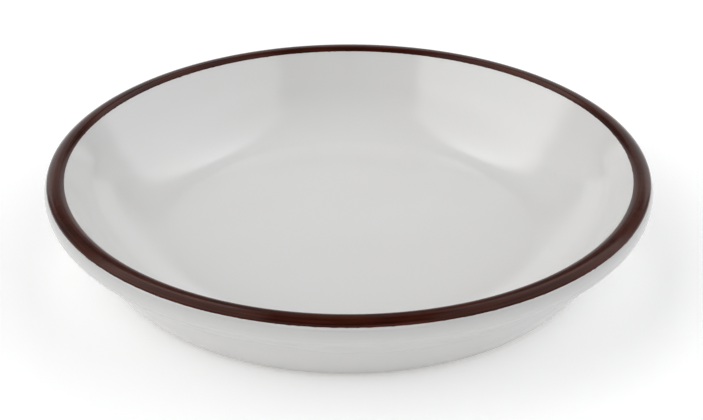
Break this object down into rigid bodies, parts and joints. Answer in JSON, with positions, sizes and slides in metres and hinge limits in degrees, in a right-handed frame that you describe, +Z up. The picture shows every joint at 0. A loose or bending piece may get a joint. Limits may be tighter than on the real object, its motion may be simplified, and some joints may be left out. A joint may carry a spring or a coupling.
{
  "type": "sauce dish",
  "caption": "Shallow round glazed sauce dish with a rolled lip, a dark edge band, a broad curved well and a recessed foot ring; holds a portion of sauce or dip.",
  "frame": {"origin": "centre of the foot ring, on the plane the dish stands on", "axes": "+Z up along the dish's axis of revolution, out of the well; X and Y are interchangeable"},
  "size_m": [0.1016, 0.1016, 0.0161],
  "materials": {
    "bare_clay": "matte",
    "white_glaze": "polished",
    "brown_band": "gloss"
  },
  "bodies": {
    "root": {"clay_body": "bare_clay", "glaze_coat": "white_glaze", "underside_glaze": "white_glaze", "rim_band": "brown_band"}
  },
  "joints": []
}
